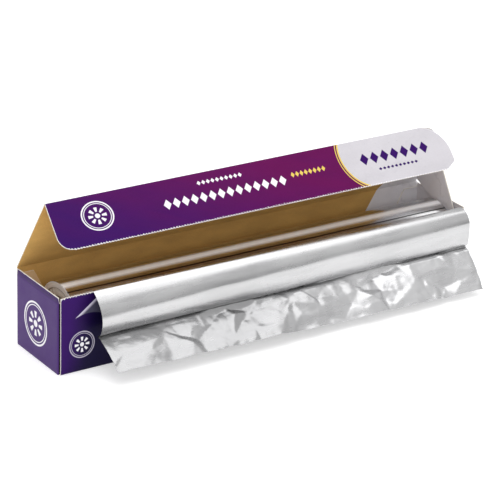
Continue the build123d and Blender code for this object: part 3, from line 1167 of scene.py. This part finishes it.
def flap_rows(form):
    """The flap from its rounded fold to its toothed edge."""
    depth = form.tooth_depth / MM
    low = FLAP_LENGTH - depth
    tip = FLAP_HIGH.x
    wide = tip - FOLD_RIGHT
    run = FLAP_CURVE_END - 0.15
    radius = (wide ** 2 + run ** 2) / (2 * wide)
    tip_start = FLAP_LENGTH - FLAP_TIP_LENGTH

    def left(v):
        over = max(0.0, v - (low - FLAP_CORNER))
        return FOLD_LEFT + FLAP_CORNER - math.sqrt(max(0.0, FLAP_CORNER ** 2 - over ** 2))

    def right(v):
        if v < FLAP_CURVE_END:
            return tip - radius + math.sqrt(radius ** 2 - (FLAP_CURVE_END - max(v, 0.15)) ** 2)
        return tip - FLAP_TIP_WIDTH * max(0.0, v - tip_start) / (low - tip_start)

    rows = []
    for degrees in (88, 70, 50, 30, 12):
        lift = math.radians(degrees)
        v = -BOARD * math.sin(lift)
        rows.append((v, BOARD * math.cos(lift), 0.0, 0.0, left(0), right(0), 0))
    corner_start = low - FLAP_CORNER
    places = [0.15, 0.6, *spaced(1.5, FLAP_CURVE_END, 1.3)]
    round_places = [corner_start + FLAP_CORNER * math.sin(math.radians(a)) for a in range(8, 84, 6)]
    places += [*spaced(21.0, corner_start, 1.5), *round_places, tip_start, low - 0.02]
    for v in sorted({round(v, 4) for v in places}):
        rows.append((v, BOARD, v, 0.0, left(v), right(v), 0))
    rows.append((low, BOARD, low, 0.0, FOLD_LEFT + FLAP_CORNER, tip - FLAP_TIP_WIDTH, depth))
    return rows


class OBJECT_OT_carton_flap(bpy.types.Operator):
    """Builds the printed front flap with its toothed edge."""

    bl_idname = "object.carton_flap"
    bl_label = "Carton flap"

    def execute(self, context):
        form = context.scene.board_form
        board = FoldedBoard()
        cut = FLAP_HIGH.x - FLAP_TIP_WIDTH - FOLD_LEFT - FLAP_CORNER
        teeth = tooth_places(0.0, cut, form.tooth_pitch / MM)
        wide = teeth[-1][0]
        add_rows(board, flap_panel(), flap_rows(form), [(x / wide, tip) for x, tip in teeth])
        printed = printed_board("flap_print", flap_design, 0.1, FLAP_TEETH)
        flap = board.build("lid_flap_board", board_materials(printed))
        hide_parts("lid_flap")
        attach(flap, "flap")
        return {"FINISHED"}


# ---- roll
def turned(name, section, steps, materials, slots, ripple):
    """A closed section of (x, radius) turned about the roll's axis, its radii changed by ripple."""
    points, faces, kinds = [], [], []
    count = len(section)
    for k in range(steps):
        angle = math.tau * k / steps
        for x, radius in section:
            r = radius + ripple(x, radius, angle)
            points.append((x, r * math.cos(angle), ROLL_Z + r * math.sin(angle)))
    for k in range(steps):
        after = (k + 1) % steps
        for s in range(count):
            t = (s + 1) % count
            faces.append([k * count + s, k * count + t, after * count + t, after * count + s])
            kinds.append(slots[s])
    return mesh_object(name, points, faces, materials, kinds)


def wound_ripple(x, radius, angle):
    """The turns' soft unevenness: broad flats round the roll, fading to none at its core."""
    share = clamped((radius - FOIL_INNER) / (ROLL_RADIUS - FOIL_INNER))
    way = Vector((math.cos(angle) * 1.6, math.sin(angle) * 1.6, x / 160))
    fine = Vector((math.cos(angle) * 6.0, math.sin(angle) * 6.0, x / 70 + 9))
    return share * (0.10 * noise.noise(way) + 0.03 * noise.noise(fine)) - 0.06 * share


def no_ripple(_x, _radius, _angle):
    """A true cylinder."""
    return 0.0


class OBJECT_OT_foil_turns(bpy.types.Operator):
    """Builds the wound turns of foil."""

    bl_idname = "object.foil_turns"
    bl_label = "Foil turns"

    def execute(self, context):
        places = spaced(ROLL_LEFT + 0.35, ROLL_RIGHT - 0.35, 4.0)
        outside = [(x, ROLL_RADIUS - 0.05) for x in places]
        rings = 13
        build = ROLL_RADIUS - FOIL_INNER
        edge = [FOIL_INNER + build * k / rings for k in range(rings + 1)]
        steps = [0.22 * abs(math.sin(k * 2.4)) for k in range(rings + 1)]
        right_face = [(ROLL_RIGHT - s, r) for r, s in zip(reversed(edge), reversed(steps))]
        right_face[0] = (ROLL_RIGHT - 0.1, ROLL_RADIUS - 0.3)
        left_face = [(ROLL_LEFT + s, r) for r, s in zip(edge, steps)]
        left_face[-1] = (ROLL_LEFT + 0.1, ROLL_RADIUS - 0.3)
        section = outside + right_face + left_face
        end = [1] * (len(edge) - 1) + [0]
        slots = [0] * len(outside) + end + end
        rolled = metal(
            "foil_rolled", (1.0, 1.0, 1.0), 0.26, 0.14, 0.12 * MM, plain_relief, painted_highlight_band_and_shadow_line
        )
        ends = metal(
            "foil_wound_ends", (8.0, 1.0, 1.0), 0.55, 0.38, 0.14 * MM, wound_layers, edge_shine_and_gap_shade
        )
        turns = turned("foil_turns", section, 160, [rolled, ends], slots, wound_ripple)
        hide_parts("foil_roll")
        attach(turns, "carton")
        return {"FINISHED"}


class OBJECT_OT_core_tube(bpy.types.Operator):
    """Builds the paper tube inside the foil."""

    bl_idname = "object.core_tube"
    bl_label = "Core tube"

    def execute(self, context):
        left, right = CORE_LOW.x, CORE_HIGH.x
        inner = CORE_OUTER - CORE_WALL
        soft = 0.35
        end = [
            (0.1, CORE_OUTER - 0.12), (0.0, CORE_OUTER - soft), (0.0, CORE_OUTER - 1.9),
            (0.12, CORE_OUTER - 2.0), (0.0, CORE_OUTER - 2.1), (0.0, inner + soft),
            (0.1, inner + 0.1),
        ]
        section = [(x, CORE_OUTER - 0.02) for x in spaced(left + soft, right - soft, 12.0)]
        section += [(right - inset, radius) for inset, radius in end]
        section += [(x, inner) for x in spaced(right - soft, left + soft, 12.0)]
        section += [(left + inset, radius) for inset, radius in reversed(end)]
        tube = turned(
            "core_tube_paper", section, 96, [core_paper()], [0] * len(section), no_ripple
        )
        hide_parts("core_tube")
        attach(tube, "carton")
        return {"FINISHED"}


# ---- drawn sheet
def smooth_curve(points, step):
    """A smooth curve through points, with places no further apart than about step."""
    knots = [np.array(p, float) for p in points]
    knots = [2 * knots[0] - knots[1], *knots, 2 * knots[-1] - knots[-2]]
    made = []
    for a, b, c, d in zip(knots, knots[1:], knots[2:], knots[3:]):
        count = max(2, math.ceil(np.linalg.norm(c - b) / step))
        for k in range(count):
            t = k / count
            made.append(0.5 * (2 * b + (c - a) * t + (2 * a - 5 * b + 4 * c - d) * t * t
                               + (3 * b - a - 3 * c + d) * t ** 3))
    return np.array([*made, knots[-2]])


def evenly(curve, count):
    """The same curve as count evenly spaced points."""
    steps = np.linalg.norm(np.diff(curve, axis=0), axis=1)
    walked = np.concatenate([[0], np.cumsum(steps)])
    places = np.linspace(0, walked[-1], count)
    return np.stack([np.interp(places, walked, curve[:, k]) for k in range(2)], axis=1)


def creased(across, down, width, length, size, seed):
    """Heights from -1 to 1 over a flat sheet broken into flat facets of about one size."""
    chance = np.random.default_rng(seed)
    nodes = []
    for row in range(-1, math.ceil(length / size) + 2):
        for column in range(-1, math.ceil(width / size) + 2):
            jitter = chance.uniform(-0.48, 0.48, 2)
            nodes.append(((column + 0.5 * (row % 2) + jitter[0]) * size, (row + jitter[1]) * size))
    heights = chance.uniform(-1, 1, len(nodes))
    _, _, triangles, _, _, _ = delaunay_2d_cdt([Vector(n) for n in nodes], [], [], 0, 1e-6)
    found = np.zeros(across.shape)
    for triangle in triangles:
        (ax, ay), (bx, by), (cx, cy) = (nodes[k] for k in triangle)
        whole = (by - cy) * (ax - cx) + (cx - bx) * (ay - cy)
        if abs(whole) < 1e-9:
            continue
        near = (
            (across >= min(ax, bx, cx)) & (across <= max(ax, bx, cx))
            & (down >= min(ay, by, cy)) & (down <= max(ay, by, cy))
        )
        x, y = across[near], down[near]
        first = ((by - cy) * (x - cx) + (cx - bx) * (y - cy)) / whole
        second = ((cy - ay) * (x - cx) + (ax - cx) * (y - cy)) / whole
        third = 1 - first - second
        within = (first >= -1e-6) & (second >= -1e-6) & (third >= -1e-6)
        high = [heights[k] for k in triangle]
        level = first * high[0] + second * high[1] + third * high[2]
        values = found[near]
        values[within] = level[within]
        found[near] = values
    return found


def sheet_grid(form):
    """The sheet's middle surface as rows of points down its length, and its flat length."""
    columns = 283
    bulge_rows, skirt_rows = 66, 40
    xs = np.linspace(SHEET_LEFT, ROLL_RIGHT, columns)
    share = (xs - SHEET_LEFT) / (ROLL_RIGHT - SHEET_LEFT)
    sides = []
    for bulge, skirt in ((BULGE_LEFT, SKIRT_LEFT), (BULGE_RIGHT, SKIRT_RIGHT)):
        upper = evenly(smooth_curve(bulge, 0.5), bulge_rows)
        lower = evenly(smooth_curve(skirt, 0.5), skirt_rows)
        sides.append(np.concatenate([upper, lower[1:]]))
    left, right = sides
    mixed = share[None, :, None]
    section = left[:, None, :] * (1 - mixed) + right[:, None, :] * mixed
    rows = section.shape[0]
    steps = np.linalg.norm(np.diff((left + right) / 2, axis=0), axis=1)
    walked = np.concatenate([[0], np.cumsum(steps)])
    way = np.gradient(section, axis=0)
    way /= np.linalg.norm(way, axis=2, keepdims=True)
    outward = np.stack([-way[..., 1], way[..., 0]], axis=2)
    outward *= np.where(outward[..., :1].mean() > 0, -1.0, 1.0)
    crease_at = walked[bulge_rows - 1]
    soft = np.zeros((rows, columns))
    for r, drawn in enumerate(walked):
        free = clamped((drawn - LOOSE_FROM) / LOOSE_OVER)
        for c, x in enumerate(xs):
            wide = noise.noise(Vector((x / 62, drawn / 16, 3.0)))
            ripple = noise.noise(Vector((x / 34 + 7, drawn / 7, 8.0)))
            soft[r, c] = free * (wide + 0.4 * ripple)
    below = np.clip((walked - crease_at) / 4.0, 0, 1)[:, None]
    above = (np.clip(1 - (crease_at - walked) / 5.0, 0, 1) * (walked <= crease_at))[:, None]
    across, down = np.meshgrid(xs - SHEET_LEFT, walked - crease_at + 8.0)
    size = form.facet / MM
    length = walked[-1] - crease_at + 16.0
    crinkle = 0.0
    for depth, facet, seed in ((1.7, 2.4, 11), (0.62, 1.1, 23), (0.16, 0.5, 31)):
        crinkle += depth * creased(across, down, xs[-1] - xs[0], length, size * facet, seed)
    crinkle *= (below + 0.08 * above) * (0.85 + 0.85 * share)
    lift = soft * form.wave / MM * (1 - 0.5 * below) + crinkle * form.crinkle / MM
    section = section + outward * lift[..., None]
    across_at = np.broadcast_to(xs[None, :, None], (rows, columns, 1))
    points = np.concatenate([across_at, section], axis=2)
    ragged = np.array([0.5 * noise.noise(Vector((x / 9, 4.0, 1.0))) for x in xs])
    tail = np.clip((walked - walked[-1] + 6.0) / 6.0, 0, 1)[:, None]
    points[..., 1] -= tail * ragged[None, :]
    side_wave = np.array([0.45 * noise.noise(Vector((2.0, w / 6, 5.0))) for w in walked])[:, None]
    near_left = np.clip(1 - (xs - xs[0]) / 5.0, 0, 1)[None, :]
    near_right = np.clip(1 - (xs[-1] - xs) / 5.0, 0, 1)[None, :]
    points[..., 0] += (near_left * (side_wave + 0.3) + near_right * (side_wave - 0.3)) * below
    normals = np.concatenate([np.zeros((rows, columns, 1)), outward], axis=2)
    flats = np.stack([np.broadcast_to(xs - LEFT, (rows, columns)),
                      np.broadcast_to((walked - crease_at)[:, None], (rows, columns))], axis=2)
    return points, normals, flats.reshape(-1, 2), walked[-1]


class OBJECT_OT_drawn_sheet(bpy.types.Operator):
    """Builds the foil's drawn-out end: over the front wall, a soft bulge, a crease and a skirt."""

    bl_idname = "object.drawn_sheet"
    bl_label = "Drawn-out sheet"

    def execute(self, context):
        form = context.scene.foil_form
        middle, normals, flats, length = sheet_grid(form)
        rows, columns = middle.shape[:2]
        half = form.thickness / MM / 2
        points = np.concatenate([(middle + normals * half).reshape(-1, 3),
                                 (middle - normals * half).reshape(-1, 3)])
        back = rows * columns
        faces = []
        for r in range(rows - 1):
            for c in range(columns - 1):
                a, b = r * columns + c, r * columns + c + 1
                faces.append([a, b, b + columns, a + columns])
                faces.append([back + k for k in (a + columns, b + columns, b, a)])
        loop = list(range(columns)) + [r * columns + columns - 1 for r in range(1, rows)]
        loop += [(rows - 1) * columns + c for c in range(columns - 2, -1, -1)]
        loop += [r * columns for r in range(rows - 2, 0, -1)]
        faces += [[b, a, back + a, back + b] for a, b in zip(loop, loop[1:] + loop[:1])]
        material = metal(
            "foil_drawn", (2.0, 0.15, 0.15), 0.32, 0.2, 0.2 * MM, fine_creases, painted_shade_and_duller_skirt
        )
        flats = np.concatenate([flats, flats])
        sheet = mesh_object(
            "foil_drawn_sheet", points, faces, [material], None, flats, np.zeros(len(flats))
        )
        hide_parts("foil_roll")
        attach(sheet, "carton")
        return {"FINISHED"}


# ---- stage
CAMERA_TURN = math.radians(-33.885)
CAMERA_RISE = math.radians(22.8468)
CAMERA_ROLL = math.radians(1.9414)
CAMERA_REACH = 1.52416
CAMERA_AIM = Vector((-42.24, -64.48, 74.69)) * MM
CAMERA_LENS = 180.0
FLOOR_REACH = 4.0
FLOOR_DROP = 0.02 * MM


def panel_light(name, place, aim, size, power):
    """A soft rectangular light."""
    data = bpy.data.lights.new(name, "AREA")
    data.shape = "RECTANGLE"
    data.size, data.size_y = size
    data.energy = power
    light = bpy.data.objects.new(name, data)
    light.location = place
    light.rotation_euler = (Vector(aim) - Vector(place)).to_track_quat("-Z", "Y").to_euler()
    bpy.context.scene.collection.objects.link(light)


def make_camera():
    """The camera, turned about the carton's front left."""
    flat = math.cos(CAMERA_RISE)
    back = Vector((
        math.sin(CAMERA_TURN) * flat, -math.cos(CAMERA_TURN) * flat, math.sin(CAMERA_RISE)
    ))
    level = Vector((0, 0, 1)).cross(back).normalized()
    up = back.cross(level)
    right = level * math.cos(CAMERA_ROLL) + up * math.sin(CAMERA_ROLL)
    up = up * math.cos(CAMERA_ROLL) - level * math.sin(CAMERA_ROLL)
    data = bpy.data.cameras.new("camera")
    data.lens = CAMERA_LENS
    data.sensor_width = 36.0
    data.clip_start, data.clip_end = 0.05, 50.0
    camera = bpy.data.objects.new("camera", data)
    turn = Matrix((right, up, back)).transposed()
    camera.matrix_world = Matrix.Translation(CAMERA_AIM + back * CAMERA_REACH) @ turn.to_4x4()
    bpy.context.scene.collection.objects.link(camera)
    bpy.context.scene.camera = camera


def make_room(strength):
    """Even pale light from all round, a little dimmer towards the floor."""
    world = bpy.data.worlds.new("studio_room")
    world.use_nodes = True
    net = Network(world.node_tree)
    place = net.node("ShaderNodeTexCoord").outputs["Generated"]
    _, _, height = net.split(place)
    shade = net.ramp(height, -0.1, 0.75, 0.55, 1.0)
    background = world.node_tree.nodes["Background"]
    net.feed(background.inputs["Color"], net.grey(shade))
    background.inputs["Strength"].default_value = strength
    bpy.context.scene.world = world


class OBJECT_OT_studio_stage(bpy.types.Operator):
    """Builds the floor, the lights and the camera."""

    bl_idname = "object.studio_stage"
    bl_label = "Studio stage"

    def execute(self, context):
        form = context.scene.stage_form
        work = bmesh.new()
        bmesh.ops.create_grid(work, x_segments=8, y_segments=8, size=FLOOR_REACH)
        mesh = bpy.data.meshes.new("studio_floor")
        work.to_mesh(mesh)
        work.free()
        mesh.materials.append(floor_paper(tuple(form.floor)))
        floor = bpy.data.objects.new("studio_floor", mesh)
        floor.location.z = CAD_BOX[0].z - FLOOR_DROP
        context.scene.collection.objects.link(floor)
        panel_light("overhead_panel", (0.1, -0.1, 1.3), (0, 0, 0), (1.6, 1.2), form.overhead)
        panel_light("front_panel", (-0.5, -1.4, 0.8), (0, 0, 0.03), (1.0, 0.8), form.front)
        make_room(form.sky)
        make_camera()
        context.scene.view_settings.view_transform = "Standard"
        return {"FINISHED"}


class VIEW3D_PT_foil_carton(bpy.types.Panel):
    """Lists the carton's pieces and settings in the sidebar."""

    bl_label = "Foil carton"
    bl_idname = "VIEW3D_PT_foil_carton"
    bl_space_type = "VIEW_3D"
    bl_region_type = "UI"
    bl_category = "Foil carton"

    def draw(self, context):
        for operator in OPERATORS:
            self.layout.operator(operator.bl_idname)
        for name, group in SETTINGS.items():
            box = self.layout.box()
            for key in group.__annotations__:
                box.prop(getattr(context.scene, name), key)


SETTINGS = {
    "board_form": BoardForm, "foil_form": FoilForm, "print_colours": PrintColours,
    "stage_form": StageForm,
}
OPERATORS = [
    OBJECT_OT_carton_tray, OBJECT_OT_carton_lid, OBJECT_OT_carton_flap, OBJECT_OT_foil_turns,
    OBJECT_OT_core_tube, OBJECT_OT_drawn_sheet, OBJECT_OT_studio_stage,
]


def register():
    for kind in [*SETTINGS.values(), *OPERATORS, VIEW3D_PT_foil_carton]:
        bpy.utils.register_class(kind)
    for name, group in SETTINGS.items():
        setattr(bpy.types.Scene, name, PointerProperty(type=group))


def unregister():
    for name in SETTINGS:
        delattr(bpy.types.Scene, name)
    for kind in reversed([*SETTINGS.values(), *OPERATORS, VIEW3D_PT_foil_carton]):
        bpy.utils.unregister_class(kind)


def main():
    register()
    make_effects()
    plain_inside()
    cut_edge()
    for operator in OPERATORS:
        area, name = operator.bl_idname.split(".")
        getattr(getattr(bpy.ops, area), name)()


if __name__ == "__main__":
    main()
